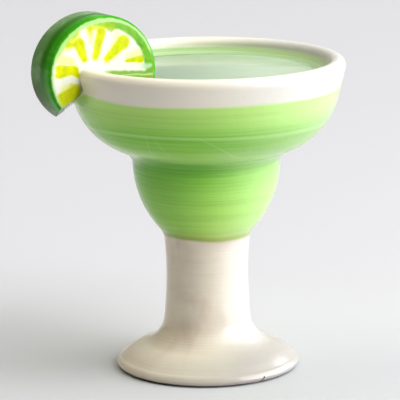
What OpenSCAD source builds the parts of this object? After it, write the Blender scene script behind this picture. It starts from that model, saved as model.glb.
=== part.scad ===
// Glazed ceramic margarita: a footed goblet with a two-step bowl, filled almost
// to the brim, with a thick lime slice fused over the rim.
// Millimetres, +Z up. The origin is the centre of the face the foot stands on.
// -Y is the front, and the slice sits at the front left of the rim.

/* [Foot] */
// Diameter of the foot at its widest
foot_d = 33; // [30:0.5:38]
// Height of the widest line of the foot above the table
foot_edge_h = 0.8; // [0.6:0.1:1.2]
// Height at which the domed foot begins to sweep up into the stem
foot_cap_h = 4.25; // [3.8:0.05:5]

/* [Stem] */
// Diameter of the stem where the sweep of the foot ends
stem_foot_d = 15.7; // [13.5:0.1:17]
// Height of that place
stem_foot_h = 8.7; // [7.5:0.1:10]
// Diameter of the stem just under the bowl
stem_top_d = 15.3; // [13.5:0.1:16.2]
// Depth of the slight waist along the stem
stem_waist = 0.36; // [0.1:0.02:0.8]

/* [Bowl] */
// Height at which the lower bowl leaves the stem
well_h = 23.7; // [20:0.1:25]
// Diameter at the crease between the lower and the upper bowl
neck_d = 26.4; // [24:0.2:28]
// Height of that crease
neck_h = 38; // [36:0.2:39]
// Diameter high on the upper bowl, where its belly straightens
belly_d = 47.5; // [46:0.1:48.5]
// Height of that place
belly_h = 49.85; // [49:0.1:51.5]

/* [Rim] */
// Height of the glass to the crest of the rim
glass_h = 56.4; // [56:0.2:60]
// Outer diameter of the rim
rim_d = 50; // [49:0.2:52]
// Thickness of the rounded lip
lip_t = 2.9; // [2.2:0.1:3.2]

/* [Drink] */
// Depth of the drink's surface below the crest of the rim
freeboard = 2.55; // [2.3:0.05:3]
// Diameter of the drink's surface
drink_d = 39; // [36:0.2:40]
// Height of the floor of the hollow that the drink fills
floor_h = 28.5; // [27:0.5:31]

/* [Lime slice] */
// Diameter of the slice
lime_d = 19.8; // [16:0.2:22]
// Thickness of the slice
lime_t = 9.2; // [7:0.2:10]
// How far the cut face is turned to the right, in degrees
lime_turn = 26; // [18:1:34]
// How far the slice leans back, in degrees
lime_lean = 2; // [0:1:6]
// Height of the slice's centre above the surface of the drink
lime_rise = 1.65; // [1.2:0.05:3]
// Slope of the cut that trims the slice outside the glass, in degrees
lime_cut = 31.6; // [20:0.2:45]
// How far that cut drops for each millimetre inwards from the cut face
lime_cut_drop = 0.5; // [0:0.05:0.6]

/* [Hidden] */
$fn = 96;

// Corner points of the goblet's outline, as [radius, height]
foot_r = foot_d / 2;
foot_base = [foot_r - 0.55, 0];
foot_edge = [foot_r, foot_edge_h];
foot_shoulder = foot_edge + [-0.85, 1.2];
foot_cap = [foot_r - 4.45, foot_cap_h];
stem_foot = [stem_foot_d / 2, stem_foot_h];
stem_top = [stem_top_d / 2, well_h];
well_low = stem_top + [0.8, 1.8];
neck = [neck_d / 2, neck_h];
belly_low = neck + [1.75, 2];
belly_high = [belly_d / 2, belly_h];
lip_r = lip_t / 2;
lip = [rim_d / 2 - lip_r, glass_h - lip_r];
drink_h = glass_h - freeboard;
drink_edge = [drink_d / 2, drink_h];
hollow_neck = neck + [-2.2, 4];
hollow_well = neck + [-3.2, 1];
hollow_floor = [0, floor_h];

// How far each arc of the outline stands out from the straight line
foot_edge_bow = 0.12;
foot_shoulder_bow = 0.22;
foot_dome_bow = 0.27;
foot_sweep_bow = -0.92;
well_low_bow = -0.12;
well_bow = 1.29;
crease_bow = -0.2;
belly_bow = 1.8;
fillet_bow = -0.42;
hollow_belly_bow = -2.6;
hollow_crease_bow = -0.15;
hollow_well_bow = -3.7;
arc_step = 8;
lip_from = -13;
lip_steps = 16;

lime_r = lime_d / 2;
lime_at = [-0.35 * rim_d, -0.2 * rim_d, drink_h + lime_rise];
lime_swell = 0.065;
swell_at = 203;
front_rounding = 0.5;
back_rounding = 0.9;
rounding_steps = 4;
lime_sides = 64;
trim_from = [-1.8, -lime_rise];
trim_reach = 2 * lime_r;
trim_dip = 1;

// Points on the arc from p to q, without q. The arc stands out by bow to the
// right of the way from p to q, or to the left where bow is negative.
function arc(p, q, bow) =
    let (
        way = (q - p) / norm(q - p),
        side = [way.y, -way.x],
        half = norm(q - p) / 2,
        r = (half * half + bow * bow) / (2 * bow),
        centre = (p + q) / 2 + side * (bow - r),
        spread = asin(half / abs(r)),
        steps = max(5, ceil(2 * spread / arc_step))
    )
    [for (i = [0 : steps - 1])
        let (t = spread * (2 * i / steps - 1))
        centre + side * r * cos(t) + way * abs(r) * sin(t)];

// Round lip, from its outer side over the crest to its inner side
function lip_round() =
    [for (i = [0 : lip_steps - 1])
        let (t = lip_from + (180 - lip_from) * i / lip_steps)
        lip + lip_r * [cos(t), sin(t)]];

// Outside of the goblet, then over the lip and down its fillet to the drink
function outer_outline() = concat(
    [[0, 0]],
    arc(foot_base, foot_edge, foot_edge_bow),
    arc(foot_edge, foot_shoulder, foot_shoulder_bow),
    arc(foot_shoulder, foot_cap, foot_dome_bow),
    arc(foot_cap, stem_foot, foot_sweep_bow),
    arc(stem_foot, stem_top, -stem_waist),
    arc(stem_top, well_low, well_low_bow),
    arc(well_low, neck, well_bow),
    arc(neck, belly_low, crease_bow),
    arc(belly_low, belly_high, belly_bow),
    [belly_high],
    lip_round(),
    arc(lip - [lip_r, 0], drink_edge, fillet_bow));

// Wall of the hollow, from the edge of the drink down to the floor at the axis
function hollow_outline() = concat(
    arc(drink_edge, hollow_neck, hollow_belly_bow),
    arc(hollow_neck, hollow_well, hollow_crease_bow),
    arc(hollow_well, hollow_floor, hollow_well_bow),
    [hollow_floor]);

module goblet() {
    color("palegreen")
        rotate_extrude()
            polygon(concat(outer_outline(), hollow_outline()));
}

module drink() {
    color("honeydew")
        rotate_extrude()
            polygon(concat([[0, drink_h]], hollow_outline()));
}

// Goblet and drink as one filled form, which the slice is cut round
module filled_goblet() {
    rotate_extrude()
        polygon(concat(outer_outline(), [drink_edge, [0, drink_h]]));
}

// Radius of the slice at an angle round it: a circle that swells low on the left
function lime_radius(angle) =
    lime_r * (1 + lime_swell * pow(max(0, cos(angle - swell_at)), 2));

// Inset and depth of each ring of the slice, from the cut face to the back
lime_rings = concat(
    [for (i = [0 : rounding_steps])
        let (t = 90 * i / rounding_steps)
        front_rounding * [1 - sin(t), 1 - cos(t)]],
    [for (i = [0 : rounding_steps])
        let (t = 90 * i / rounding_steps)
        [0, lime_t - back_rounding] + back_rounding * [1 - cos(t), sin(t)]]);

// Whole slice in its own frame: X to the right on the cut face, Z up, Y inwards
module whole_slice() {
    points = [for (ring = lime_rings, j = [0 : lime_sides - 1])
        let (angle = 360 * j / lime_sides, r = lime_radius(angle) - ring[0])
        [r * cos(angle), ring[1], r * sin(angle)]];
    last = len(lime_rings) - 1;
    walls = [for (i = [0 : last - 1], j = [0 : lime_sides - 1])
        let (k = (j + 1) % lime_sides, near = i * lime_sides, far = near + lime_sides)
        each [[near + j, near + k, far + k], [near + j, far + k, far + j]]];
    cut_face = [for (j = [lime_sides - 1 : -1 : 0]) j];
    back_face = [for (j = [0 : lime_sides - 1]) last * lime_sides + j];
    polyhedron(points, concat(walls, [cut_face, back_face]));
}

// Flat outline made as thick as the slice and a little more, in the slice's frame
module through_slice(outline) {
    translate([0, lime_t + 1, 0])
        rotate([90, 0, 0])
            linear_extrude(lime_t + 2)
                polygon(outline);
}

// What is cut away under the slice: outside the glass along the slanting cut,
// which drops as it goes in, and inside the glass under the surface of the drink
module trimming() {
    multmatrix([[1, 0, 0, 0], [0, 1, 0, 0], [0, -lime_cut_drop, 1, 0]])
        through_slice([trim_from,
            trim_from - trim_reach * [1, tan(lime_cut)],
            trim_from - trim_reach * [1, 2],
            trim_from - trim_reach * [0, 2]]);
    through_slice([trim_from,
        trim_from - trim_reach * [0, 2],
        trim_from + trim_reach * [1, -2],
        trim_from + [trim_reach, -trim_dip]]);
}

module lime_slice() {
    color("limegreen")
        difference() {
            translate(lime_at)
                rotate([0, 0, lime_turn])
                    rotate([-lime_lean, 0, 0])
                        difference() {
                            whole_slice();
                            trimming();
                        }
            filled_goblet();
        }
}

goblet();
drink();
lime_slice();
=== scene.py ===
# %% [markdown]
# # A glazed ceramic margarita
#
# The object is a small ceramic ornament: a goblet with a two-step bowl, a pale
# green drink close under the brim and a thick lime slice over the rim. A potter
# casts it in one piece, paints it by hand with underglaze colours and dips it
# in a clear gloss glaze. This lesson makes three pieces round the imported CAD
# model, one for each solid, and spends most of its effort on the glaze.

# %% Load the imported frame
from math import asin, ceil, cos, pi, radians, sin, tan

import bmesh
import bpy
from mathutils import Matrix, Vector


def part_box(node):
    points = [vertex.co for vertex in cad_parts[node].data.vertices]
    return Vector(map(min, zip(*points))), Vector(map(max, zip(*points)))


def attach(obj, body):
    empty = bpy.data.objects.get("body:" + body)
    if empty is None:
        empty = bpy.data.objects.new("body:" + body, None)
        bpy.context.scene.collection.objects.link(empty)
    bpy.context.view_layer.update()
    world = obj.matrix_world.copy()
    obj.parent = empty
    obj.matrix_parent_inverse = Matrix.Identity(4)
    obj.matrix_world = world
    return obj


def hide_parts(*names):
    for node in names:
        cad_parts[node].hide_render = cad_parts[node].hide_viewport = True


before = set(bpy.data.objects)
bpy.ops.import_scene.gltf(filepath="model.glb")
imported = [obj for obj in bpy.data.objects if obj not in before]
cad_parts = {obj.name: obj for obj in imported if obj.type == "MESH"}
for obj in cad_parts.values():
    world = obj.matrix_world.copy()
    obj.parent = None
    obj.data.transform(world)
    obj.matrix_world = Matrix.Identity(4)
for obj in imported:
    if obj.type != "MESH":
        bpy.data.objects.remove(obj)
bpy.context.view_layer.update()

MM = 0.001

# %% [markdown]
# ## Measures
#
# The goblet is round, so nearly everything follows from a few radii and
# heights. The ones that the frame knows are read from it, so the two models
# can't drift apart. The rest are the potter's own sizes, in millimetres.

# %% Measures from the frame
goblet_high = Vector(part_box("goblet")[1]) / MM
drink_low, drink_high = (Vector(corner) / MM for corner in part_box("drink"))

GLASS_H = goblet_high.z
RIM_R = goblet_high.x
DRINK_H = drink_high.z
DRINK_R = drink_high.x
FLOOR_H = drink_low.z
print(f"glass {GLASS_H:.1f} mm tall, rim radius {RIM_R:.1f}, drink at {DRINK_H:.2f}")

# %% [markdown]
# ## Two small helpers
#
# Hex colours are what the eye compares, but Blender mixes in linear light, so
# one function turns them. Every node in this file, in a material or in a
# Geometry Nodes tree, is added by one other function.

# %% Colour and node helpers
def linear(hex_colour):
    """An sRGB hex colour as linear red, green, blue and alpha."""
    channels = [int(hex_colour[i:i + 2], 16) / 255 for i in (1, 3, 5)]
    return (*(c / 12.92 if c <= 0.04045 else ((c + 0.055) / 1.055) ** 2.4
              for c in channels), 1.0)


def add(tree, kind, inputs=(), **settings):
    """Add a node with its settings; inputs are a dict by name, or values in order.

    A value is a constant, a socket, or a node, whose first live output is linked.
    """
    node = tree.nodes.new(kind)
    for name, value in settings.items():
        setattr(node, name, value)
    pairs = inputs.items() if isinstance(inputs, dict) else enumerate(inputs)
    for key, value in pairs:
        if isinstance(value, bpy.types.Node):
            value = next(socket for socket in value.outputs if socket.enabled)
        if isinstance(value, bpy.types.NodeSocket):
            tree.links.new(value, node.inputs[key])
        else:
            node.inputs[key].default_value = value
    return node

# %% [markdown]
# ## Camera
#
# A small ornament is shown from a little above its rim. A short lens close by
# would see the rim nearly edge on and the foot from far above, so this is a long
# lens further back, which keeps the two ellipses alike. The camera leans by half
# a degree, so the rim is not quite level.

# %% Camera
camera_data = bpy.data.cameras.new("catalogue_lens")
camera_data.sensor_width = 36
camera_data.lens = 243
camera_data.clip_start = 10 * MM
camera = bpy.data.objects.new("camera", camera_data)
bpy.context.scene.collection.objects.link(camera)
eye = Vector((0, -474.1, 133.9)) * MM
aim = Vector((-1.16, 0, 30.4)) * MM
lean = Matrix.Rotation(radians(-0.52), 4, "Z")
looking = (aim - eye).to_track_quat("-Z", "Y").to_matrix().to_4x4()
camera.matrix_world = Matrix.Translation(eye) @ looking @ lean
bpy.context.scene.camera = camera
print(f"camera {(aim - eye).length / MM:.0f} mm from its aim")

# %% [markdown]
# ## The turned outline
#
# The goblet's section is a run of arcs: a domed foot, a sweep up into the stem,
# a round lower bowl, a crease, a deep upper bowl and a round lip. A free curve
# could draw it, but its handles say little about the clay. Here each arc is
# given by its two ends and by how far it bows from the straight line, which is
# easy to read off a real section with a ruler.

# %% Arcs
def arc(p, q, bow, step=4):
    """Points from p to q, without q, on an arc that bows to the right."""
    way = (q - p).normalized()
    side = Vector((way.y, -way.x))
    half = (q - p).length / 2
    r = (half * half + bow * bow) / (2 * bow)
    centre = (p + q) / 2 + side * (bow - r)
    spread = asin(half / abs(r))
    steps = max(6, ceil(2 * spread / radians(step)))
    angles = [spread * (2 * i / steps - 1) for i in range(steps)]
    return [centre + side * r * cos(t) + way * abs(r) * sin(t) for t in angles]


def arcs(rows):
    """Points on a run of arcs: each two ends, a bow and the degrees of a step."""
    return [point for row in rows for point in arc(*row)]

# %% Corners of the goblet's outline, as radius and height
FOOT_R = 16.5
FOOT_BASE = Vector((FOOT_R - 1.0, 0))
FOOT_EDGE = Vector((FOOT_R, 0.8))
FOOT_SHOULDER = FOOT_EDGE + Vector((-0.85, 1.2))
FOOT_CAP = Vector((FOOT_R - 4.45, 4.25))
STEM_FOOT, STEM_TOP = Vector((7.85, 8.7)), Vector((7.65, 23.7))
WELL_LOW = STEM_TOP + Vector((0.8, 1.8))
NECK = Vector((13.2, 38.0))
BELLY_LOW = NECK + Vector((1.75, 2))
BELLY_HIGH, RIM_LOW = Vector((23.75, 49.85)), Vector((24.3, 52.2))
LIP_R = 1.45
LIP = Vector((RIM_R - LIP_R, GLASS_H - LIP_R))
LIP_START, LIP_STEPS = -13, 28
DRINK_EDGE = Vector((DRINK_R, DRINK_H))
HOLLOW_NECK, HOLLOW_WELL = NECK + Vector((-2.2, 4)), NECK + Vector((-3.2, 1))
HOLLOW_FLOOR = Vector((0, FLOOR_H))

# %% Outline of the goblet and of the hollow that the drink fills
foot = arcs(((FOOT_BASE, FOOT_EDGE, 0.15), (FOOT_EDGE, FOOT_SHOULDER, 0.22),
             (FOOT_SHOULDER, FOOT_CAP, 0.27), (FOOT_CAP, STEM_FOOT, -0.92)))
stem = arcs(((STEM_FOOT, STEM_TOP, -0.36, 0.6), (STEM_TOP, WELL_LOW, -0.12)))
bowl = arcs(((WELL_LOW, NECK, 1.29, 2.5), (NECK, BELLY_LOW, -0.2),
             (BELLY_LOW, BELLY_HIGH, 1.8, 2.5)))
lip = [LIP + LIP_R * Vector((cos(t), sin(t))) for t in (
    radians(LIP_START + (180 - LIP_START) * i / LIP_STEPS) for i in range(LIP_STEPS))]
fillet = arc(LIP - Vector((LIP_R, 0)), DRINK_EDGE, -0.42)
outside = foot + stem + bowl + [BELLY_HIGH, RIM_LOW] + lip + fillet + [DRINK_EDGE]
hollow = arcs(((DRINK_EDGE, HOLLOW_NECK, -2.6, 8), (HOLLOW_NECK, HOLLOW_WELL, -0.15, 8),
               (HOLLOW_WELL, HOLLOW_FLOOR, -3.7, 8))) + [HOLLOW_FLOOR]
print(len(outside), "points outside,", len(hollow), "in the hollow")

# %% Sponge
SPONGE_PASSES = 2


def soften(points, passes):
    """Ease the joins between arcs, as a sponge does on wet clay."""
    for _ in range(passes):
        inner = [(a + 2 * b + c) / 4 for a, b, c in zip(points, points[1:], points[2:])]
        points = [points[0], *inner, points[-1]]
    return points


goblet_outline = [Vector((0, 0))] + soften(outside, SPONGE_PASSES) + hollow[1:]
print("goblet outline:", len(goblet_outline), "points")

# %% [markdown]
# ## A potter's wheel in Geometry Nodes
#
# A lathe form is one rule: carry the section round the axis. A Screw modifier
# does that too, but it leaves a perfect form, and a cast and fettled one is not.
# The tree below takes any outline as its geometry, lays out a grid with one row
# for each outline point and bends the grid round the axis. Its inputs are the
# number of stations round the form, and the unevenness that a hand leaves: a
# slow wobble of the wall and fine ridges round it. The foot's face stays flat.

# %% Node groups
def make_group(kind, name, inputs, output, output_kind="Float"):
    """An empty node group with its sockets; return it with its inputs."""
    group = bpy.data.node_groups.new(name, kind)
    for socket, socket_kind in inputs.items():
        group.interface.new_socket(socket, in_out="INPUT",
                                   socket_type="NodeSocket" + socket_kind)
    group.interface.new_socket(output, in_out="OUTPUT",
                               socket_type="NodeSocket" + output_kind)
    return group, add(group, "NodeGroupInput").outputs


wheel, given = make_group("GeometryNodeTree", "potters_wheel", {
    "Outline": "Geometry", "Stations": "Int", "Wobble": "Float", "Ridges": "Float",
    "Seed": "Float", "Glaze": "Material"}, "Form", "Geometry")
print("wheel inputs:", [socket.name for socket in given if socket.name])

# %% Wheel: one grid row for each point of the outline
points = add(wheel, "GeometryNodeAttributeDomainSize", {"Geometry": given["Outline"]})
around = add(wheel, "ShaderNodeMath", (given["Stations"], 1.0), operation="ADD")
grid = add(wheel, "GeometryNodeMeshGrid", {
    "Size X": 1.0, "Size Y": 1.0, "Vertices X": points.outputs["Point Count"],
    "Vertices Y": around})
here = add(wheel, "GeometryNodeInputPosition")
place = add(wheel, "ShaderNodeSeparateXYZ", (here,)).outputs
last = add(wheel, "ShaderNodeMath", (points.outputs["Point Count"], 1.0),
           operation="SUBTRACT")
row = add(wheel, "ShaderNodeMath", (place["X"], 0.5), operation="ADD")
row = add(wheel, "ShaderNodeMath", (row, last), operation="MULTIPLY")
row = add(wheel, "ShaderNodeMath", (row,), operation="ROUND")
picked = add(wheel, "GeometryNodeSampleIndex", {
    "Geometry": given["Outline"], "Value": here, "Index": row},
    data_type="FLOAT_VECTOR", clamp=True)
section = add(wheel, "ShaderNodeSeparateXYZ", (picked,)).outputs

# %% Wheel: direction of each station, as a point on the unit circle
turn = add(wheel, "ShaderNodeMath", (place["Y"], 2 * pi), operation="MULTIPLY")
east = add(wheel, "ShaderNodeMath", (turn,), operation="COSINE")
north = add(wheel, "ShaderNodeMath", (turn,), operation="SINE")

# %% Wheel: a slow wobble and fine ridges
# The noise is read on a cylinder of radius 1. At these scales a wobble is 21 mm
# tall, and a ridge is 0.7 mm tall and runs most of the way round.
HEIGHTS_PER_METRE = 60.0
SLOW_SCALE, FINE_SCALE, FINE_STRETCH = 0.8, 1.6, (0.35, 0.35, 14.0)
height = add(wheel, "ShaderNodeMath", (section["Z"], HEIGHTS_PER_METRE),
             operation="MULTIPLY")
spot = add(wheel, "ShaderNodeCombineXYZ", (east, north, height))
slow = add(wheel, "ShaderNodeTexNoise", {
    "Vector": spot, "W": given["Seed"], "Scale": SLOW_SCALE, "Detail": 1.0},
    noise_dimensions="4D")
steep = add(wheel, "ShaderNodeVectorMath", (spot, FINE_STRETCH), operation="MULTIPLY")
fine = add(wheel, "ShaderNodeTexNoise", {
    "Vector": steep, "W": given["Seed"], "Scale": FINE_SCALE, "Detail": 2.0},
    noise_dimensions="4D")
push = 0.0
for noise, amount in ((slow, "Wobble"), (fine, "Ridges")):
    centred = add(wheel, "ShaderNodeMath", (noise, 0.5), operation="SUBTRACT")
    push = add(wheel, "ShaderNodeMath", (centred, given[amount], push),
               operation="MULTIPLY_ADD")

# %% Wheel: none of that at the foot's face or near the axis, in millimetres
STILL, FULL_H, FULL_R = 0.4, 3, 5
for value, full in ((section["Z"], FULL_H), (section["X"], FULL_R)):
    held = add(wheel, "ShaderNodeMapRange", {
        "Value": value, "From Min": STILL * MM, "From Max": full * MM})
    push = add(wheel, "ShaderNodeMath", (push, held), operation="MULTIPLY")
radius = add(wheel, "ShaderNodeMath", (section["X"], push), operation="ADD")

# %% Wheel: bend the grid, weld its seam, in millimetres, and glaze it
WELD = 0.002
x = add(wheel, "ShaderNodeMath", (radius, east), operation="MULTIPLY")
y = add(wheel, "ShaderNodeMath", (radius, north), operation="MULTIPLY")
bent = add(wheel, "ShaderNodeCombineXYZ", (x, y, section["Z"]))
turned = add(wheel, "GeometryNodeSetPosition", {"Geometry": grid, "Position": bent})
closed = add(wheel, "GeometryNodeMergeByDistance", {
    "Geometry": turned, "Distance": WELD * MM})
smooth = add(wheel, "GeometryNodeSetShadeSmooth", {"Geometry": closed})
real = add(wheel, "GeometryNodeRealizeInstances", {"Geometry": smooth})
glazed = add(wheel, "GeometryNodeSetMaterial", {
    "Geometry": real, "Material": given["Glaze"]})
add(wheel, "NodeGroupOutput", {"Form": glazed})
print("wheel tree:", len(wheel.nodes), "nodes")

# %% Throw a form on the wheel
def face_outwards(mesh):
    """Turn every face of a closed mesh outwards; return its open edges and volume."""
    shell = bmesh.new()
    shell.from_mesh(mesh)
    bmesh.ops.recalc_face_normals(shell, faces=shell.faces)
    open_edges = sum(not edge.is_manifold for edge in shell.edges)
    volume = shell.calc_volume(signed=True)
    shell.to_mesh(mesh)
    shell.free()
    return open_edges, volume


def throw(name, outline, glaze, **sizes):
    """Turn an outline in millimetres on the wheel; return a plain mesh object."""
    mesh = bpy.data.meshes.new(name)
    points = [(p.x * MM, 0, p.y * MM) for p in outline]
    mesh.from_pydata(points, [(i, i + 1) for i in range(len(points) - 1)], [])
    clay = bpy.data.objects.new(name, mesh)
    bpy.context.scene.collection.objects.link(clay)
    turned = clay.modifiers.new("wheel", "NODES")
    turned.node_group = wheel
    sockets = {item.name: item.identifier for item in wheel.interface.items_tree
               if item.in_out == "INPUT"}
    for key, value in {**sizes, "Glaze": glaze}.items():
        turned[sockets[key]] = value
    ready = clay.evaluated_get(bpy.context.evaluated_depsgraph_get())
    form = bpy.data.meshes.new_from_object(ready)
    clay.modifiers.remove(turned)
    clay.data = form
    form.name = name
    open_edges, volume = face_outwards(form)
    print(f"{name}: {len(form.polygons)} faces, {open_edges} open edges,",
          f"{volume / MM ** 3:.0f} mm3")
    return clay

# %% [markdown]
# ## Painting tools for the glaze
#
# Underglaze is painted on with a loaded brush, so every mark is a stroke with
# round ends and a soft, slightly ragged edge. Such marks could be painted on an
# image, but a rule keeps them sharp at any distance. One node group stands for
# the brush: it takes a place, two ends and two half widths, and gives how much
# paint lies there. A second group stands for the hand: noise between -1 and 1,
# whose patches have a size in millimetres along each axis.

# %% Brush group
brush, given = make_group("ShaderNodeTree", "brush_stroke", {
    "Place": "Vector", "From": "Vector", "To": "Vector", "Start": "Float",
    "End": "Float", "Softness": "Float"}, "Paint")
way = add(brush, "ShaderNodeVectorMath", (given["To"], given["From"]),
          operation="SUBTRACT")
here = add(brush, "ShaderNodeVectorMath", (given["Place"], given["From"]),
           operation="SUBTRACT")
along = add(brush, "ShaderNodeVectorMath", (here, way), operation="DOT_PRODUCT")
whole = add(brush, "ShaderNodeVectorMath", (way, way), operation="DOT_PRODUCT")
share = add(brush, "ShaderNodeMath", (along, whole), operation="DIVIDE",
            use_clamp=True)
nearest = add(brush, "ShaderNodeVectorMath", {0: way, "Scale": share},
              operation="SCALE")
away = add(brush, "ShaderNodeVectorMath", (here, nearest), operation="DISTANCE")
width = add(brush, "ShaderNodeMix", {
    "Factor": share, "A": given["Start"], "B": given["End"]})
outer = add(brush, "ShaderNodeMath", (given["Softness"], -1.0), operation="MULTIPLY")
paint = add(brush, "ShaderNodeMapRange", {
    "Value": add(brush, "ShaderNodeMath", (width, away), operation="SUBTRACT"),
    "From Min": outer, "From Max": given["Softness"]},
    interpolation_type="SMOOTHSTEP")
add(brush, "NodeGroupOutput", {"Paint": paint})
print("brush:", len(brush.nodes), "nodes")

# %% Hand group
CALM = 0.25
hand, given = make_group("ShaderNodeTree", "unsteady_hand", {
    "Place": "Vector", "Size": "Vector", "Detail": "Float", "Shift": "Float"}, "Sway")
patch = add(hand, "ShaderNodeVectorMath", (given["Place"], given["Size"]),
            operation="DIVIDE")
patch = add(hand, "ShaderNodeVectorMath", (patch, given["Shift"]), operation="ADD")
grain = add(hand, "ShaderNodeTexNoise", {
    "Vector": patch, "Scale": 1.0, "Detail": given["Detail"]})
sway = add(hand, "ShaderNodeMapRange", {
    "Value": grain, "From Min": CALM, "From Max": 1 - CALM, "To Min": -1.0,
    "To Max": 1.0})
add(hand, "NodeGroupOutput", {"Sway": sway})
print("hand:", len(hand.nodes), "nodes")

# %% Laying paint
def paint_on(tree, ground, coats):
    """Lay coats in order over a ground: each a colour, a strength and its masks."""
    ground = linear(ground) if isinstance(ground, str) else ground
    for colour, amount, *masks in coats:
        for mask in masks:
            amount = add(tree, "ShaderNodeMath", (mask, amount), operation="MULTIPLY")
        ground = add(tree, "ShaderNodeMix", {
            "Factor": amount, "A": ground,
            "B": linear(colour) if isinstance(colour, str) else colour},
            data_type="RGBA")
    return ground


def brush_on(tree, ground, colour, place, softness, strokes):
    """Lay strokes of one colour: each two ends, two half widths and a strength."""
    coats = []
    for start, end, widths, strength in strokes:
        mark = add(tree, "ShaderNodeGroup", {
            "Place": place, "From": (start[0], 0, start[1]), "To": (end[0], 0, end[1]),
            "Start": widths[0], "End": widths[1], "Softness": softness},
            node_tree=brush)
        coats.append((colour, strength, mark))
    return paint_on(tree, ground, coats)


def new_glaze(name):
    """An empty node material and its tree."""
    glaze = bpy.data.materials.new(name)
    glaze.use_nodes = True
    glaze.node_tree.nodes.clear()
    return glaze, glaze.node_tree


CLAY_ROUGHNESS = 0.5


def fire(tree, colour, height, gloss, coat_ior, specular=0.0, coat=1.0, haze=0.0):
    """Close a glaze: painted clay under a clear coat with an uneven surface.

    Gloss is the coat's roughness, and the surface's height is in millimetres.
    """
    bump = add(tree, "ShaderNodeBump", {
        "Height": height, "Strength": 1.0, "Distance": MM})
    shader = add(tree, "ShaderNodeBsdfPrincipled", {
        "Base Color": colour, "Roughness": CLAY_ROUGHNESS,
        "Specular IOR Level": specular, "Sheen Weight": haze,
        "Sheen Roughness": CLAY_ROUGHNESS, "Coat Weight": coat, "Coat Roughness": gloss,
        "Coat IOR": coat_ior, "Normal": bump, "Coat Normal": bump})
    add(tree, "ShaderNodeOutputMaterial", {"Surface": shader})

# %% [markdown]
# ## Goblet glaze
#
# The real goblet is slip-cast earthenware under a clear gloss glaze. Its body is
# a warm cream, which shows on the foot and the stem with pinkish-beige brush
# marks. The bowl is banded on a turning wheel in leaf green, so the paint lies
# in rings: a dark saturated ring in the crease, a dark ring with a thin bare
# line over it half way up, and yellow green near the rim. The crease ring is
# part paint and part painted shade, strongest on the left and the front, and
# the lower bowl is painted darker on the left as shade. The right side has a
# painted pale veil for the light that falls there, and the cream and the white
# are painted greyer on that side to hold that light back. The borders wander by
# half a millimetre. The rim is left white, and a green ring runs round the
# inside, just over the drink. Inside the lip, the band is painted lighter on the
# far right and carries a thin painted reflection. A painted contact shadow
# darkens the foot's lowest edge.
#
# Rings could be separate pieces, but they are only paint, so the height picks
# the colour, and the unsteady hand moves that height a little from side to side.

# %% Goblet glaze: places
# Patterns are read on a cylinder of one radius, in millimetres, so that rings
# stay level and of one width on every slope of the wall.
PATTERN_R = 8
goblet_glaze, tree = new_glaze("hand_banded_green_on_cream_clear_glaze")
metres = add(tree, "ShaderNodeTexCoord").outputs["Object"]
spot = add(tree, "ShaderNodeMapping", {"Vector": metres, "Scale": (1 / MM,) * 3})
axes = add(tree, "ShaderNodeSeparateXYZ", (spot,)).outputs
height = axes["Z"]
front = add(tree, "ShaderNodeMath", (axes["Y"], -1.0), operation="MULTIPLY")
bearing = add(tree, "ShaderNodeMath", (axes["X"], front), operation="ARCTAN2")
flat = add(tree, "ShaderNodeCombineXYZ", (axes["X"], axes["Y"]))
radius = add(tree, "ShaderNodeVectorMath", (flat,), operation="LENGTH")
outwards = add(tree, "ShaderNodeVectorMath", (flat,), operation="NORMALIZE")
side = add(tree, "ShaderNodeSeparateXYZ", (outwards,)).outputs["X"]
level = add(tree, "ShaderNodeCombineXYZ", {"Z": height})
ring_spot = add(tree, "ShaderNodeVectorMath", (outwards, (PATTERN_R,) * 3, level),
                operation="MULTIPLY_ADD")

# %% Goblet glaze: the unsteady hand, with patch sizes in millimetres
ORANGE_PEEL_SIZE = 2.9
sway = {}
for name, size, detail, shift in (
        ("wander", (11, 11, 37), 1.0, 0.0),
        ("banding", (28, 28, 1.1), 3.0, 0.0),
        ("fine rings", (12.5, 12.5, 0.31), 2.0, 7.0),
        ("patches", (7.8, 7.8, 4.8), 2.0, 0.5),
        ("stains", (4.5, 4.5, 8.0), 2.0, 15.0),
        ("brushed", (11, 11, 1.6), 2.0, 11.0)):
    sway[name] = add(tree, "ShaderNodeGroup", {
        "Place": ring_spot, "Size": size, "Detail": detail, "Shift": shift},
        node_tree=hand)
orange_peel = add(tree, "ShaderNodeGroup", {
    "Place": spot, "Size": (ORANGE_PEEL_SIZE,) * 3, "Detail": 2.0}, node_tree=hand)
print("goblet:", len(sway), "unsteady patterns")

# %% Goblet glaze: lines that the hand moves
lines = {"drift": height, "low": height, "high": height, "inner": radius}
from_front = add(tree, "ShaderNodeMath", (bearing,), operation="COSINE")
for line, cause, amount in (
        ("drift", sway["wander"], 0.35), ("drift", sway["banding"], 0.22),
        ("low", sway["wander"], 0.45), ("low", sway["fine rings"], 0.08),
        ("high", sway["wander"], -0.55), ("high", sway["fine rings"], 0.1),
        ("high", from_front, -0.35), ("inner", sway["wander"], 0.25)):
    lines[line] = add(tree, "ShaderNodeMath", (cause, amount, lines[line]),
                      operation="MULTIPLY_ADD")

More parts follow.
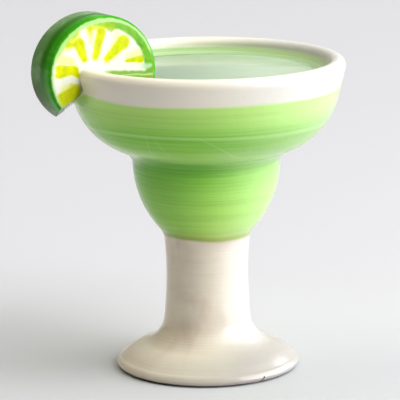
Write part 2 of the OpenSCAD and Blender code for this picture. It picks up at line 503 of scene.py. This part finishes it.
# %% Goblet glaze: borders, each from where a paint starts to where it is full
border = {}
for name, value, start, end in (
        ("left", side, 0.3, -0.8), ("left and front", side, 0.85, -0.3),
        ("right", side, -0.1, 0.9), ("far right", side, -0.4, 0.6),
        ("foot's right", side, -0.8, 0.6),
        ("over ring", lines["drift"], 40.4, 39.4),
        ("under ring", lines["drift"], 36.4, 38.4), ("well", height, 38.5, 36.5),
        ("pale rings", sway["fine rings"], 0.1, 1.1),
        ("deep rings", sway["fine rings"], -0.1, -1.1),
        ("wide rings", sway["banding"], 0.0, 1.1),
        ("patches", sway["patches"], -0.2, 1.0), ("stains", sway["stains"], 0.0, 0.9),
        ("brushed", sway["brushed"], 0.0, 1.0), ("bare", sway["brushed"], -0.2, -1.0),
        ("foot", height, 7.0, 3.0), ("painted contact shadow", height, 0.42, 0.22),
        ("stem's foot", height, 13.0, 7.0), ("green", lines["low"], 24.2, 24.8),
        ("white", lines["high"], 51.25, 51.95), ("lip side", height, 53.2, 53.6),
        ("inside", lines["inner"], 22.15, 21.6),
        ("band top", lines["inner"], 20.9, 21.6)):
    border[name] = add(tree, "ShaderNodeMapRange", {
        "Value": value, "From Min": start, "From Max": end},
        interpolation_type="SMOOTHSTEP")
print("goblet:", len(lines), "moved lines,", len(border), "borders")

# %% Goblet glaze: banded green, as the height of each ring and its colour
ring_colours = (
    (24.0, "#BCC872"), (25.4, "#B8D86E"), (27.5, "#BAE870"), (31.0, "#B2E66A"),
    (34.3, "#A8E062"), (36.4, "#98D652"), (38.2, "#86C844"), (39.4, "#8EC852"),
    (40.2, "#A4D474"), (41.5, "#9ED266"), (43.4, "#8ECB4C"), (45.0, "#80C23C"),
    (45.5, "#A6D876"), (46.0, "#8ACA48"), (47.4, "#A6DA68"), (49.5, "#B4E074"),
    (51.0, "#BAE47C"), (53.0, "#C0E482"))
lowest, highest = ring_colours[0][0], ring_colours[-1][0]
ramp = add(tree, "ShaderNodeValToRGB", (add(tree, "ShaderNodeMapRange", {
    "Value": lines["drift"], "From Min": lowest, "From Max": highest}),))
stops = ramp.color_ramp.elements
for _ in ring_colours[2:]:
    stops.new(0.5)
for stop, (ring_height, ring_colour) in zip(stops, ring_colours):
    stop.position = (ring_height - lowest) / (highest - lowest)
    stop.color = linear(ring_colour)
green = paint_on(tree, ramp, (
    # Part paint and part painted shade: the crease ring is darkest on the left and
    # front, where the crease turns down out of the light.
    ("#4C9A1E", 0.62, border["over ring"], border["under ring"],
     border["left and front"]),
    # Painted shade: a darker green on the left of the lower bowl.
    ("#5FAE34", 0.45, border["left"], border["well"]),
    ("#C2E08E", 0.26, border["pale rings"]),
    ("#66A632", 0.22, border["deep rings"]),
    ("#6FB234", 0.26, border["wide rings"]),
    # Painted light: a pale veil on the right, where the light falls strongest.
    ("#CFF0B8", 0.36, border["right"])))
print("green:", len(ring_colours), "rings")

# %% Goblet glaze: cream body, white rim and green band inside it
cream = paint_on(tree, "#E8DECC", (
    ("#D9C6B2", 0.45, border["patches"]),
    ("#CDB5A4", 0.40, border["stains"]),
    ("#DACEC0", 0.28, border["brushed"]),
    ("#ECE6DA", 0.28, border["bare"]),
    # Painted shade: the cream is greyer on the right, and greyer still on the stem's
    # foot and the foot there, to hold back the light on that side.
    ("#D6D3D2", 0.6, border["right"]),
    ("#A9A5A2", 0.5, border["stem's foot"], border["right"]),
    ("#DAD2C4", 0.6, border["foot"]),
    ("#918E90", 0.6, border["foot"], border["foot's right"]),
    # Painted shadow: a near-black line at the foot's lowest edge, where it meets the
    # floor.
    ("#3E3A30", 0.85, border["painted contact shadow"])))
# Painted shade: the white rim is greyer on the right, to hold back the light there.
white = paint_on(tree, "#EAE5D6", (
    ("#DDD4C4", 0.35, border["patches"]), ("#D8D8D8", 0.8, border["right"])))
# Painted light: the inner green band is lighter near its top on the far right, where
# that wall faces away from the lamps.
band = paint_on(tree, "#A0BE88", (
    ("#BCD89C", 0.7, border["band top"], border["far right"]),))
up_low = add(tree, "ShaderNodeCombineXYZ", {"Z": lines["low"]})
out_inner = add(tree, "ShaderNodeCombineXYZ", {"X": lines["inner"]})
colour = paint_on(tree, cream, ((green, 1.0, border["green"]),))
colour = brush_on(tree, colour, "#9AA556", up_low, 0.45, (
    ((0, 24.7), (0, 24.9), (0.35, 0.35), 0.55),))
# Painted reflection: a thin pale line along the inner green band.
band = brush_on(tree, band, "#DCEBC0", out_inner, 0.2, (
    ((20.85, 0), (20.9, 0), (0.1, 0.1), 0.3),))
colour = paint_on(tree, colour, (
    (white, 1.0, border["white"]),
    (band, 1.0, border["inside"], border["lip side"])))

# %% Goblet glaze: scratches, a speck on the rim and a nick in the foot
UNROLL_R = 20.0
unrolled = add(tree, "ShaderNodeCombineXYZ", {
    "X": add(tree, "ShaderNodeMath", (bearing, UNROLL_R), operation="MULTIPLY"),
    "Z": height})
colour = brush_on(tree, colour, "#E6F3CE", unrolled, 0.14, (
    ((-1.2, 46.0), (5.0, 42.0), (0.05, 0.1), 0.15),
    ((5.0, 42.0), (11.2, 39.9), (0.1, 0.06), 0.15),
    ((-9.6, 46.3), (-10.2, 42.2), (0.06, 0.12), 0.12),
    ((-8.2, 45.0), (-6.9, 42.0), (0.12, 0.05), 0.12)))
colour = brush_on(tree, colour, "#CBB9B0", unrolled, 0.12, (
    ((9.3, 55.9), (9.9, 55.9), (0.10, 0.12), 0.5),))
nick = add(tree, "ShaderNodeGroup", {
    "Place": unrolled, "From": (12.2, 0, 0.25), "To": (13.0, 0, 0.95), "Start": 0.10,
    "End": 0.16, "Softness": 0.12}, node_tree=brush)
colour = paint_on(tree, colour, (("#5B5342", 0.8, nick),))

# %% Goblet glaze: pooled surface, with heights in millimetres
# A clear glaze has an IOR near 1.5. The ornament's softer shine comes nearer to
# 1.4, and a little haze pales its sides, where one looks along the glaze.
PEEL_HEIGHT, RIDGE_HEIGHT, NICK_HEIGHT = 0.02, 0.008, -0.25
surface = 0.0
for cause, rise in ((orange_peel, PEEL_HEIGHT), (sway["fine rings"], RIDGE_HEIGHT),
                    (nick, NICK_HEIGHT)):
    surface = add(tree, "ShaderNodeMath", (cause, rise, surface),
                  operation="MULTIPLY_ADD")
fire(tree, colour, surface, gloss=0.16, coat_ior=1.4, specular=0.1, haze=0.12)
print("goblet glaze:", len(tree.nodes), "nodes")

# %% [markdown]
# ## Drink glaze
#
# The drink is a flat pool of pale grey-green glaze, smoother than the goblet's,
# so the sky lies in it as one soft sheet. It could be made clear like a real
# drink, but the ornament's is opaque. It has no strokes, only faint cloudiness,
# and it is painted paler towards the right: painted light that evens out the
# shade the rim casts on that side.

# %% Drink glaze
CLOUD_SIZE, PALER_FROM, PALER_TO, RIPPLE_HEIGHT = (8.3, 3.3, 8.3), -9.0, 14.0, 0.006
drink_glaze, tree = new_glaze("pale_green_pooled_glaze")
metres = add(tree, "ShaderNodeTexCoord").outputs["Object"]
spot = add(tree, "ShaderNodeMapping", {"Vector": metres, "Scale": (1 / MM,) * 3})
cloud = add(tree, "ShaderNodeGroup", {
    "Place": spot, "Size": CLOUD_SIZE, "Detail": 2.0}, node_tree=hand)
cloudy = add(tree, "ShaderNodeMapRange", {"Value": cloud, "From Min": 0.0})
painted_light_right = add(tree, "ShaderNodeMapRange", {
    "Value": add(tree, "ShaderNodeSeparateXYZ", (spot,)), "From Min": PALER_FROM,
    "From Max": PALER_TO}, interpolation_type="SMOOTHSTEP")
# Painted light: the drink turns paler towards the right.
colour = paint_on(tree, "#8CA689", (
    ("#BAD2B6", 1.0, painted_light_right), ("#93AE8E", 0.25, cloudy)))
ripple = add(tree, "ShaderNodeMath", (cloud, RIPPLE_HEIGHT), operation="MULTIPLY")
fire(tree, colour, ripple, gloss=0.1, coat_ior=1.4)
print("drink glaze:", len(tree.nodes), "nodes")

# %% [markdown]
# ## Goblet and drink
#
# The goblet is one skin: outside, over the lip, down the fillet and then along
# the wall of its hollow. The drink fills that hollow, and its surface is drawn
# up by a hair at the wall, as a liquid glaze is. A flat disc would look the same
# from afar, but a full form has no gap under it. The goblet wobbles by a tenth
# of a millimetre, and the drink, which found its own level, not at all.

# %% Goblet on the wheel
goblet = throw("glazed_goblet", goblet_outline, goblet_glaze,
               Stations=256, Wobble=0.16 * MM, Ridges=0.05 * MM, Seed=3.0)
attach(goblet, "root")
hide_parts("goblet")

# %% Drink
DRAWN_UP, EDGE_POWER, POOL_STEPS = 0.12, 6, 24
pool = [Vector((DRINK_R * t, DRINK_H - DRAWN_UP * (1 - t ** EDGE_POWER)))
        for t in (i / POOL_STEPS for i in range(POOL_STEPS + 1))]
drink = throw("glazed_drink", pool + hollow[1:], drink_glaze,
              Stations=128, Wobble=0.0, Ridges=0.0, Seed=1.0)
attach(drink, "root")
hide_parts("drink")

# %% [markdown]
# ## Lime slice: form
#
# The slice is a thick disc of clay that swells low on the left, with soft edges
# all round. It is cut off under its middle: inside the glass by the drink, and
# outside it by a slanting cut that drops towards the back. The disc is laid out
# in its own frame, in millimetres: x to the right on the cut face, y inwards,
# z up. A bevel would round edges of one kind only, and the cuts make several.
# So the disc is cut, its skin is rebuilt with small even faces and they are
# eased, which rounds every edge the way a wet sponge does.

# %% Slice measures and frame
SLICE_R, SLICE_T = 9.9, 9.2
FRONT_ROUND, BACK_ROUND, ROUND_STEPS = 0.5, 0.9, 6
SWELL, SWELL_AT = 0.065, radians(203)
TURN, TILT = radians(26), radians(-2)
SLICE_RISE = 1.65
SLICE_AT = Vector((-0.7 * RIM_R, -0.4 * RIM_R, DRINK_H + SLICE_RISE))
CUT_SLOPE, CUT_DROP, CUT_DIP = tan(radians(31.6)), 0.5, 0.9
CUT_FROM = Vector((-1.8, -SLICE_RISE))
slice_frame = (Matrix.Translation(SLICE_AT) @ Matrix.Rotation(TURN, 4, "Z")
               @ Matrix.Rotation(TILT, 4, "X"))
print("slice centre, mm:", [round(value, 2) for value in SLICE_AT])

# %% Disc
def mesh_object(name, points, faces):
    """A new object in the scene from its corner points and faces."""
    mesh = bpy.data.meshes.new(name)
    mesh.from_pydata(points, [], faces)
    made = bpy.data.objects.new(name, mesh)
    bpy.context.scene.collection.objects.link(made)
    return made


def disc(name, sides=160):
    """The whole slice, with a small round at the cut face and a larger behind."""
    quarter = [radians(90 * i / ROUND_STEPS) for i in range(ROUND_STEPS + 1)]
    rings = [(FRONT_ROUND * (1 - sin(t)), FRONT_ROUND * (1 - cos(t))) for t in quarter]
    rings += [(BACK_ROUND * (1 - cos(t)), SLICE_T - BACK_ROUND * (1 - sin(t)))
              for t in quarter]
    points, faces = [], []
    for inset, depth in rings:
        for angle in (2 * pi * j / sides for j in range(sides)):
            swell = 1 + SWELL * max(0.0, cos(angle - SWELL_AT)) ** 2
            r = SLICE_R * swell - inset
            points.append((r * cos(angle), depth, r * sin(angle)))
    for near in range(0, len(points) - sides, sides):
        far = near + sides
        for j in range(sides):
            k = (j + 1) % sides
            faces.append((near + j, near + k, far + k, far + j))
    faces.append(tuple(reversed(range(sides))))
    faces.append(tuple(range(len(points) - sides, len(points))))
    return mesh_object(name, points, faces)


lime = disc("glazed_lime_slice")
print("disc:", len(lime.data.polygons), "faces")

# %% Cutters
REACH, OVERLAP, STEEP = 20.0, 2.0, 2


def cutter(name, corners, drop=0.0):
    """A prism through the slice; it drops by that much for each millimetre in."""
    points = [(x, y, z - drop * y) for y in (-OVERLAP, SLICE_T + OVERLAP)
              for x, z in corners]
    n = len(corners)
    faces = [tuple(range(n)), tuple(reversed(range(n, 2 * n)))]
    faces += [(i, n + i, n + (i + 1) % n, (i + 1) % n) for i in range(n)]
    prism = mesh_object(name, points, faces)
    face_outwards(prism.data)
    return prism


below = CUT_FROM - REACH * Vector((0, STEEP))
cutters = (
    cutter("outer_cut", [CUT_FROM, CUT_FROM - REACH * Vector((1, CUT_SLOPE)),
                         CUT_FROM - REACH * Vector((1, STEEP)), below], CUT_DROP),
    cutter("inner_cut", [CUT_FROM, below, CUT_FROM + REACH * Vector((1, -STEEP)),
                         CUT_FROM + Vector((REACH, -CUT_DIP))]))

# %% Cut, even out and ease the slice
SKIN_FACE, EASE, EASE_PASSES = 0.2, 0.5, 10
for tool in cutters:
    cut = lime.modifiers.new(tool.name, "BOOLEAN")
    cut.operation, cut.solver, cut.object = "DIFFERENCE", "EXACT", tool
skin = lime.modifiers.new("even_skin", "REMESH")
skin.mode, skin.voxel_size, skin.use_smooth_shade = "VOXEL", SKIN_FACE, True
ease = lime.modifiers.new("sponge", "SMOOTH")
ease.factor, ease.iterations = EASE, EASE_PASSES
lime_mesh = bpy.data.meshes.new_from_object(
    lime.evaluated_get(bpy.context.evaluated_depsgraph_get()))
lime.modifiers.clear()
lime.data = lime_mesh
for tool in cutters:
    bpy.data.objects.remove(tool)
lime_mesh.transform(Matrix.Scale(MM, 4) @ slice_frame)
for name, pick in (("lowest", min), ("highest", max)):
    corner = [round(pick(v.co[i] for v in lime_mesh.vertices) / MM, 2)
              for i in range(3)]
    print("lime:", len(lime_mesh.polygons), "faces,", name, "corner", corner)

# %% [markdown]
# ## Lime glaze
#
# The face is bare white glaze with flesh painted on in thick lemon yellow, one
# to three strokes to each segment, over a thin yellow wash. White spokes stay
# bare between them. An even fan of segments would be easy to repeat round the
# middle, but it would look printed, so each stroke is placed one by one. The peel
# is painted as bands that follow the edge: bright green on the corner, dark
# green behind it, and a thinner grey green at the back, which is a painted sheen
# on the upper peel. A green ring runs inside the edge of the face, and a pale
# line beside it is a painted highlight where the rounded edge catches the light.
# Painted shade darkens the slice's low corner and the cut under it.

# %% Lime glaze: places
SHAKE = (0.12, 0, 0.12)
lime_glaze, tree = new_glaze("lime_underglaze_strokes_clear_glaze")
metres = add(tree, "ShaderNodeTexCoord").outputs["Object"]
spot = add(tree, "ShaderNodeMapping", {
    "Vector": metres, "Location": SLICE_AT * MM, "Rotation": (TILT, 0, TURN),
    "Scale": (MM, MM, MM)}, vector_type="TEXTURE")
sway = {}
for name, size, detail, shift in (
        ("ragged", 1.25, 2.0, 0.0), ("ragged too", 1.25, 2.0, 7.2),
        ("face clouds", 4.0, 1.0, 0.0), ("peel clouds", 3.3, 2.0, 0.0)):
    sway[name] = add(tree, "ShaderNodeGroup", {
        "Place": spot, "Size": (size,) * 3, "Detail": detail, "Shift": shift},
        node_tree=hand)
shake = add(tree, "ShaderNodeCombineXYZ", {
    "X": sway["ragged"], "Z": sway["ragged too"]})
shaken = add(tree, "ShaderNodeVectorMath", (shake, SHAKE, spot),
             operation="MULTIPLY_ADD")
axes = add(tree, "ShaderNodeSeparateXYZ", (shaken,)).outputs
across, depth, up = axes["X"], axes["Y"], axes["Z"]
on_face = add(tree, "ShaderNodeCombineXYZ", {"X": across, "Z": up})
for name, size, shift in (
        ("loaded", (1.4, 1.4, 1.4), 4.2), ("streaks", (2, 2, 2), 2.0),
        ("low streaks", (5, 1.1, 0.5), 1.8)):
    sway[name] = add(tree, "ShaderNodeGroup", {
        "Place": on_face, "Size": size, "Detail": 2.0, "Shift": shift},
        node_tree=hand)

# %% Lime glaze: distance in from the edge
from_middle = add(tree, "ShaderNodeVectorMath", (on_face,), operation="LENGTH")
bearing = add(tree, "ShaderNodeMath", (up, across), operation="ARCTAN2")
swell = add(tree, "ShaderNodeMath", (bearing, SWELL_AT), operation="SUBTRACT")
swell = add(tree, "ShaderNodeMath", (swell,), operation="COSINE")
swell = add(tree, "ShaderNodeMath", (swell, 0.0), operation="MAXIMUM")
swell = add(tree, "ShaderNodeMath", (swell, 2.0), operation="POWER")
edge_at = add(tree, "ShaderNodeMath", (swell, SWELL * SLICE_R, SLICE_R),
              operation="MULTIPLY_ADD")
inwards = add(tree, "ShaderNodeMath", (edge_at, from_middle), operation="SUBTRACT")

# %% Lime glaze: the ring, the painted highlight line and other lines that the hand moves
RING_R, RING_OUT, HIGHLIGHT_W, HIGHLIGHT_MORE = 7.75, 1.5, 0.75, 0.45
ring_out = add(tree, "ShaderNodeMapRange", {
    "Value": across, "From Min": 1.0, "From Max": -4.5, "To Max": RING_OUT},
    interpolation_type="SMOOTHSTEP")
highlight_more = add(tree, "ShaderNodeMapRange", {
    "Value": across, "From Min": 5.5, "From Max": -1.0, "To Max": HIGHLIGHT_MORE},
    interpolation_type="SMOOTHSTEP")
ring_line = add(tree, "ShaderNodeMath", (from_middle, ring_out), operation="SUBTRACT")
painted_highlight_line = add(tree, "ShaderNodeMath", (inwards, highlight_more), operation="SUBTRACT")
moved = {}
for name, cause, amount, line in (
        ("ring", sway["ragged"], 0.1, ring_line), ("below", across, 0.077, up),
        ("middle peel", sway["streaks"], 0.4, depth),
        ("corner peel", sway["ragged"], 0.15, depth)):
    moved[name] = add(tree, "ShaderNodeMath", (cause, amount, line),
                      operation="MULTIPLY_ADD")

# %% Lime glaze: borders, each from where a paint starts to where it is full
border = {}
for name, value, start, end in (
        ("ring", moved["ring"], RING_R - 0.25, RING_R + 0.3),
        ("ring's end", across, -6.0, -3.5), ("top", up, 6.5, 8.5),
        ("below", moved["below"], 0.47, 0.05), ("below's end", across, -1.2, 1.4),
        ("strip's end", across, 6.4, 8.0), ("loaded", sway["loaded"], -0.4, 0.6),
        ("face clouds", sway["face clouds"], 0.0, 1.0),
        ("peel clouds", sway["peel clouds"], -0.3, 0.9),
        ("streaks", sway["streaks"], -0.2, 0.8),
        ("low streaks", sway["low streaks"], -0.1, 0.7),
        ("high", up, -3.5, 0.5), ("left", across, -2.0, -6.5),
        ("back peel", moved["middle peel"], 3.6, 6.0),
        ("middle peel", moved["corner peel"], 1.4, 3.2),
        ("pale", painted_highlight_line, HIGHLIGHT_W + 0.2, HIGHLIGHT_W - 0.15),
        ("pale's edge", inwards, 0.35, 0.5), ("upper", up, 2.0, 4.0),
        ("left edge", inwards, 1.05, 0.5), ("edge", inwards, 0.55, 0.3),
        ("rind", inwards, 1.9, 1.6), ("behind", depth, 0.35, 0.6)):
    border[name] = add(tree, "ShaderNodeMapRange", {
        "Value": value, "From Min": start, "From Max": end},
        interpolation_type="SMOOTHSTEP")
print("lime:", len(sway), "unsteady patterns,", len(border), "borders")

# %% Lime glaze: bare white and a thin yellow, as strokes in millimetres
# Each stroke has two ends, two half widths and a strength.
WHITE = "#EEEFE4"
colour = paint_on(tree, WHITE, (("#E2E4CC", 0.3, border["face clouds"]),))
colour = brush_on(tree, colour, "#E6E858", on_face, 0.5, (
    ((4.6, 2.3), (6.5, 3.0), (0.6, 0.9), 0.45),
    ((1.7, 4.6), (2.6, 6.6), (0.3, 0.6), 0.40),
    ((-2.5, 5.4), (-2.6, 7.2), (0.4, 0.5), 0.50),
    ((-5.4, 6.3), (-7.3, 4.9), (1.0, 0.8), 0.60),
    ((-8.4, 3.0), (-6.3, 2.3), (0.9, 0.8), 0.60),
    ((-7.8, -2.2), (-6.6, -1.9), (0.6, 0.5), 0.70),
    ((-1.6, 8.1), (0.6, 7.9), (0.45, 0.4), 0.60)))

# %% Lime glaze: flesh
FLESH = (
    ((4.3, 1.65), (6.9, 1.8), (0.3, 0.65), 1.0),
    ((0.4, 2.2), (3.6, 5.0), (0.5, 1.2), 1.0),
    ((-1.7, 2.8), (-0.5, 7.0), (0.55, 0.85), 1.0),
    ((-2.9, 7.9), (0.2, 7.8), (0.3, 0.3), 0.8),
    ((-2.7, 8.0), (-2.5, 6.9), (0.5, 0.35), 0.7),
    ((-3.8, 2.6), (-4.7, 5.3), (0.55, 1.0), 1.0),
    ((-4.9, 5.4), (-6.8, 5.1), (0.6, 0.3), 0.9),
    ((-5.1, 7.3), (-7.2, 5.3), (0.55, 0.45), 0.9),
    ((-8.6, 1.3), (-5.6, 0.9), (0.6, 0.55), 1.0),
    ((-8.8, 0.1), (-7.2, 0.4), (0.5, 0.6), 1.0),
    ((-8.4, 0.9), (-5.7, 0.6), (0.7, 0.6), 1.0),
    ((-5.9, 0.7), (-5.2, -0.2), (0.6, 0.45), 1.0),
    ((-8.4, -3.6), (-5.6, -2.4), (0.6, 0.7), 1.0),
    ((-8.4, -4.3), (-5.6, -3.3), (0.45, 0.8), 1.0),
    ((-8.2, -5.0), (-5.4, -4.0), (0.45, 0.6), 1.0))
WASH_W = 0.3
wash = [(start, end, (widths[0] + WASH_W, widths[1] + WASH_W), 0.5)
        for start, end, widths, _ in FLESH]
colour = brush_on(tree, colour, "#EBEE88", on_face, 0.4, wash)
yellow = paint_on(tree, "#CAD200", (("#DAE000", 1.0, border["loaded"]),))
colour = brush_on(tree, colour, yellow, on_face, 0.22, FLESH)
print("flesh:", len(FLESH), "strokes")

# %% Lime glaze: where the yellow pooled, and painted shade in the low corner
colour = brush_on(tree, colour, "#C2C900", on_face, 0.4, (
    ((-5.4, 0.9), (-5.1, -0.3), (0.3, 0.3), 0.6),
    ((-6.3, -1.9), (-5.9, -3.4), (0.5, 0.6), 0.35),
    ((-8.4, -4.7), (-6.8, -4.2), (0.3, 0.3), 0.35)))
# Painted shade: a dark olive where the slice's low corner turns away beside the bowl.
colour = brush_on(tree, colour, "#7F8A00", on_face, 0.7, (
    ((-4.4, -2.0), (-5.2, -4.6), (0.55, 0.8), 0.85),))
# Painted shade: a shaded yellow on the cut surface under the face, which faces down.
colour = brush_on(tree, colour, "#6E7A06", on_face, 0.3, (
    ((-8.6, -7.0), (-4.6, -4.9), (0.9, 0.7), 0.9),))

# %% Lime glaze: green ring, strip and low green on the face
ring_green = paint_on(tree, "#7CB838", (
    ("#5FA326", 0.8, border["streaks"]), ("#84B848", 0.5, border["top"])))
colour = paint_on(tree, colour, (
    (ring_green, 1.0, border["ring"], border["ring's end"]),))
colour = brush_on(tree, colour, "#A4C412", on_face, 0.3, (
    ((0.2, 8.5), (1.5, 7.7), (0.5, 0.7), 0.85),))
colour = brush_on(tree, colour, "#C4D94A", on_face, 0.35, (
    ((-3.3, 8.5), (-0.4, 8.2), (0.3, 0.4), 0.6),))
strip = paint_on(tree, WHITE, (("#BCD9B0", 1.0, border["strip's end"]),))
colour = brush_on(tree, colour, strip, on_face, 0.3, (
    ((4.0, 0.6), (8.6, 0.45), (0.75, 0.4), 1.0),))
low_green = paint_on(tree, "#90B458", (("#8DA030", 0.7, border["low streaks"]),))
low_green = brush_on(tree, low_green, "#BCE292", on_face, 0.15, (
    ((3.0, -0.75), (9.0, -1.05), (0.08, 0.2), 0.8),))
colour = paint_on(tree, colour, (
    (low_green, 1.0, border["below"], border["below's end"]),
    # Painted highlight: a pale line inside the edge on the upper face, where the
    # rounded edge catches the light.
    (paint_on(tree, "#BCE79C", (("#A8DC80", 1.0, border["left"]),)), 0.85,
     border["pale's edge"], border["pale"], border["upper"]),
    ("#B4E08C", 0.75, border["left edge"], border["left"])))

# %% Lime glaze: peel
# Painted sheen: the grey green at the back of the upper peel stands for the glaze's
# pale reflection where the peel turns up; lower down the back stays dark green.
back = paint_on(tree, "#6C9560", (("#9CBB90", 0.6, border["peel clouds"]),))
back = paint_on(tree, "#41681F", ((back, 1.0, border["high"]),))
middle = paint_on(tree, "#3B7C14", ((back, 1.0, border["back peel"]),))
peel = paint_on(tree, "#3F9E1C", (("#58B336", 0.7, border["streaks"]),))
peel = paint_on(tree, peel, ((middle, 1.0, border["middle peel"]),))
colour = paint_on(tree, colour, (
    (peel, 1.0, border["behind"], border["rind"]), (peel, 1.0, border["edge"])))

# %% Lime glaze: surface
# The clear glaze is thinner here than on the goblet: a lower IOR and less coat.
STROKE_HEIGHT = 0.02
relief = add(tree, "ShaderNodeMath", (sway["ragged"], STROKE_HEIGHT),
             operation="MULTIPLY")
fire(tree, colour, relief, gloss=0.15, coat_ior=1.3, coat=0.7)
lime_mesh.materials.clear()
lime_mesh.materials.append(lime_glaze)
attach(lime, "root")
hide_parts("lime_slice")
print("lime glaze:", len(tree.nodes), "nodes")

# %% [markdown]
# ## Floor and light
#
# A glazed thing shows its lights, so they are chosen for what they draw on it.
# One lamp could do for both, but here the light that models the form and the
# light that glints are set apart. A very large soft window high on the right
# veils that side and leaves the left side warm and darker, with a soft shadow.
# A smaller one gives the glint, and cards low on the right pale the edges. The
# floor is matt paper, too rough for anything but the shadow to show in it.

# %% Floor
FLOOR_HALF = 4.0
square = [(x * FLOOR_HALF, y * FLOOR_HALF, 0)
          for x, y in ((-1, -1), (1, -1), (1, 1), (-1, 1))]
floor = mesh_object("studio_floor", square, [(0, 1, 2, 3)])
paper, tree = new_glaze("matt_white_paper")
shader = add(tree, "ShaderNodeBsdfPrincipled", {
    "Base Color": linear("#C1C2C8"), "Roughness": 0.8})
add(tree, "ShaderNodeOutputMaterial", {"Surface": shader})
floor.data.materials.append(paper)
print("floor:", 2 * FLOOR_HALF, "m square")

# %% Softboxes, in metres and watts
bpy.context.scene.view_settings.view_transform = "Standard"
bpy.context.scene.view_settings.look = "Medium High Contrast"


def softbox(name, azimuth, elevation, distance, size, power, colour, shows_in="both"):
    """An area light that faces the goblet; azimuth 0 is the camera's side.

    Shown in "paint" or "gloss", it lights only the clay or only the clear coat.
    """
    light = bpy.data.lights.new(name, "AREA")
    light.shape = "RECTANGLE"
    light.size, light.size_y = size
    light.energy = power
    light.color = linear(colour)[:3]
    lamp = bpy.data.objects.new(name, light)
    a, e = radians(azimuth), radians(elevation)
    away = Vector((sin(a) * cos(e), -cos(a) * cos(e), sin(e))) * distance
    lamp.location = Vector((0, 0, GLASS_H / 2 * MM)) + away
    lamp.rotation_euler = (-away).to_track_quat("-Z", "Y").to_euler()
    lamp.visible_glossy = shows_in != "paint"
    lamp.visible_diffuse = shows_in != "gloss"
    bpy.context.scene.collection.objects.link(lamp)


softbox("window", 70, 45, 2.5, (2.9, 2.0), 66, "#FFFFFF", "paint")
softbox("window_glint", 66, 40, 2.5, (1.3, 1.5), 14, "#FFFFFF", "gloss")
softbox("low_side", 78, 9, 2.5, (2.4, 0.5), 22, "#FFFFFF")
softbox("overhead", -150, 75, 2.5, (2.4, 2.4), 20, "#FFFDF8", "paint")
softbox("left_fill", -100, 50, 2.5, (2.0, 2.0), 14, "#FFEFD2", "paint")
softbox("side_card", 90, 16, 0.2, (0.4, 0.16), 0.9, "#FFFFFF", "gloss")
lamps = [thing for thing in bpy.context.scene.objects if thing.type == "LIGHT"]
print(len(lamps), "softboxes,", sum(lamp.data.energy for lamp in lamps), "watts")

# %% Air: brighter behind and on the right, dark on the left
BRIGHT_SIDE, DARK, BRIGHT = (0.8, 0.5, 0.1), 0.1, 0.8
world = bpy.data.worlds.new("studio_air")
world.use_nodes = True
world.node_tree.nodes.clear()
tree = world.node_tree
direction = add(tree, "ShaderNodeTexCoord").outputs["Generated"]
facing = add(tree, "ShaderNodeVectorMath", (direction, BRIGHT_SIDE),
             operation="DOT_PRODUCT")
strength = add(tree, "ShaderNodeMapRange", {
    "Value": facing, "From Min": 0.0, "From Max": 0.8, "To Min": DARK,
    "To Max": BRIGHT})
air = add(tree, "ShaderNodeBackground", {
    "Color": linear("#FBFAF6"), "Strength": strength})
add(tree, "ShaderNodeOutputWorld", {"Surface": air})
bpy.context.scene.world = world
